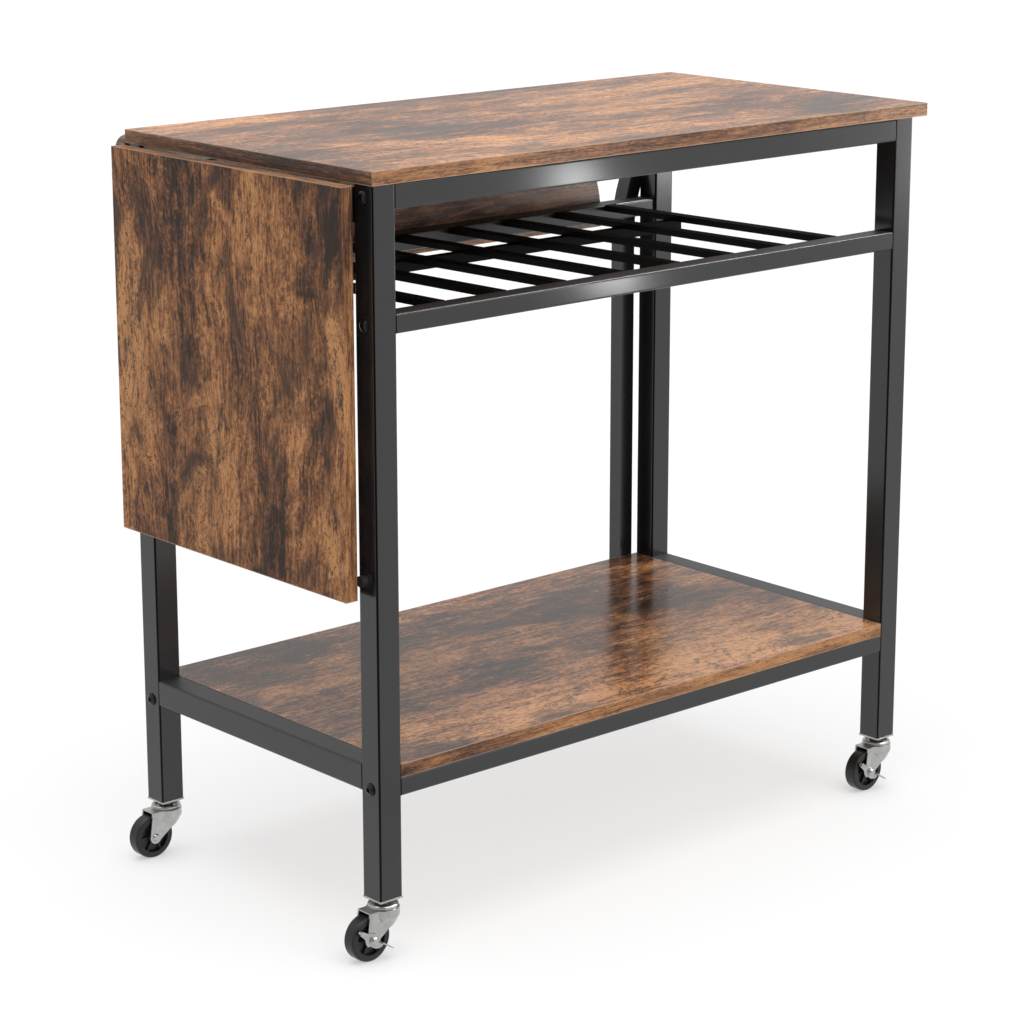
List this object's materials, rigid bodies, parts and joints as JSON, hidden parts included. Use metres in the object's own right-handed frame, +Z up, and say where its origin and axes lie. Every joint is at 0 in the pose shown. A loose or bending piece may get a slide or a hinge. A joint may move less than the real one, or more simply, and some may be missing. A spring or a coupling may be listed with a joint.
{
  "type": "folding table trolley",
  "caption": "Rolling side table with a steel tube frame, wood-look top, hanging end leaf, slatted rack, lower shelf and locking casters.",
  "frame": {"origin": "on the floor, under the centre of the whole box at rest, leaf hanging", "axes": "+X along the table towards the end without a leaf, +Y towards the back board, +Z up"},
  "size_m": [0.927, 0.4872, 0.9],
  "materials": {
    "board": "semi-gloss wood-look laminate",
    "frame_coat": "satin black powder coat",
    "black_bolt": "black oxide",
    "zinc": "bright zinc plating",
    "bumper": "matte",
    "wheel_black": "black moulded plastic"
  },
  "bodies": {
    "frame": {"tabletop": "board", "lower_shelf": "board", "back_board": "board", "leg_front_left": "frame_coat", "leg_front_right": "frame_coat", "leg_back_left": "frame_coat", "leg_back_right": "frame_coat", "end_rail_top_left": "frame_coat", "end_rail_top_right": "frame_coat", "end_rail_low_left": "frame_coat", "end_rail_low_right": "frame_coat", "apron_front": "frame_coat", "apron_back": "frame_coat", "rack_rail_front": "frame_coat", "rack_rail_back": "frame_coat", "low_rail_front": "frame_coat", "low_rail_back": "frame_coat", "rack_slats": "frame_coat", "rack_cross_bar": "frame_coat", "rear_stay": "frame_coat", "frame_bolts_left": "black_bolt", "frame_bolts_right": "black_bolt", "top_screws": "black_bolt", "shelf_screws": "black_bolt", "back_board_screws": "black_bolt", "stay_bolts": "black_bolt", "caster_plates": "zinc", "hinge_frame_plates": "frame_coat", "hinge_pins": "frame_coat", "hinge_frame_screws": "frame_coat", "leaf_bumpers": "bumper"},
    "leaf": {"drop_leaf": "board", "hinge_leaf_plates": "frame_coat", "hinge_leaf_screws": "frame_coat", "bar_guides": "frame_coat"},
    "support_front": {"support_bar_front": "zinc"},
    "support_back": {"support_bar_back": "zinc"},
    "caster_front_left": {"fork_front_left": "zinc", "axle_front_left": "zinc"},
    "roller_front_left": {"wheel_front_left": "wheel_black"},
    "caster_front_right": {"fork_front_right": "zinc", "axle_front_right": "zinc"},
    "roller_front_right": {"wheel_front_right": "wheel_black"},
    "caster_back_left": {"fork_back_left": "zinc", "axle_back_left": "zinc"},
    "roller_back_left": {"wheel_back_left": "wheel_black"},
    "caster_back_right": {"fork_back_right": "zinc", "axle_back_right": "zinc"},
    "roller_back_right": {"wheel_back_right": "wheel_black"},
    "brake_left": {"brake_lever_left": "zinc"},
    "brake_right": {"brake_lever_right": "zinc"}
  },
  "joints": [
    {"name": "leaf_hinge", "type": "hinge", "parent": "frame", "child": "leaf", "pos_m": [-0.4358, -0.01228, 0.8801], "axis": [0, 1, 0], "range_deg": [0, 90]},
    {"name": "support_front_slide", "type": "slide", "parent": "leaf", "child": "support_front", "axis": [0, 0, 1], "range_m": [0, 0.11]},
    {"name": "support_back_slide", "type": "slide", "parent": "leaf", "child": "support_back", "axis": [0, 0, 1], "range_m": [0, 0.11]},
    {"name": "swivel_front_left", "type": "hinge", "parent": "frame", "child": "caster_front_left", "pos_m": [-0.4125, -0.22528, 0.06], "axis": [0, 0, 1], "continuous": true},
    {"name": "wheel_front_left", "type": "hinge", "parent": "caster_front_left", "child": "roller_front_left", "pos_m": [-0.4365, -0.22528, 0.027], "axis": [0, 1, 0], "continuous": true},
    {"name": "swivel_front_right", "type": "hinge", "parent": "frame", "child": "caster_front_right", "pos_m": [0.4235, -0.22528, 0.06], "axis": [0, 0, 1], "continuous": true},
    {"name": "wheel_front_right", "type": "hinge", "parent": "caster_front_right", "child": "roller_front_right", "pos_m": [0.3995, -0.22528, 0.027], "axis": [0, 1, 0], "continuous": true},
    {"name": "swivel_back_left", "type": "hinge", "parent": "frame", "child": "caster_back_left", "pos_m": [-0.4125, 0.20072, 0.06], "axis": [0, 0, 1], "continuous": true},
    {"name": "wheel_back_left", "type": "hinge", "parent": "caster_back_left", "child": "roller_back_left", "pos_m": [-0.4365, 0.20072, 0.027], "axis": [0, 1, 0], "continuous": true},
    {"name": "swivel_back_right", "type": "hinge", "parent": "frame", "child": "caster_back_right", "pos_m": [0.4235, 0.20072, 0.06], "axis": [0, 0, 1], "continuous": true},
    {"name": "wheel_back_right", "type": "hinge", "parent": "caster_back_right", "child": "roller_back_right", "pos_m": [0.3995, 0.20072, 0.027], "axis": [0, 1, 0], "continuous": true},
    {"name": "brake_left", "type": "hinge", "parent": "caster_front_left", "child": "brake_left", "pos_m": [-0.4365, -0.23848, 0.027], "axis": [0, 1, 0], "range_deg": [-25, 0]},
    {"name": "brake_right", "type": "hinge", "parent": "caster_front_right", "child": "brake_right", "pos_m": [0.3995, -0.23848, 0.027], "axis": [0, 1, 0], "range_deg": [-25, 0]}
  ]
}
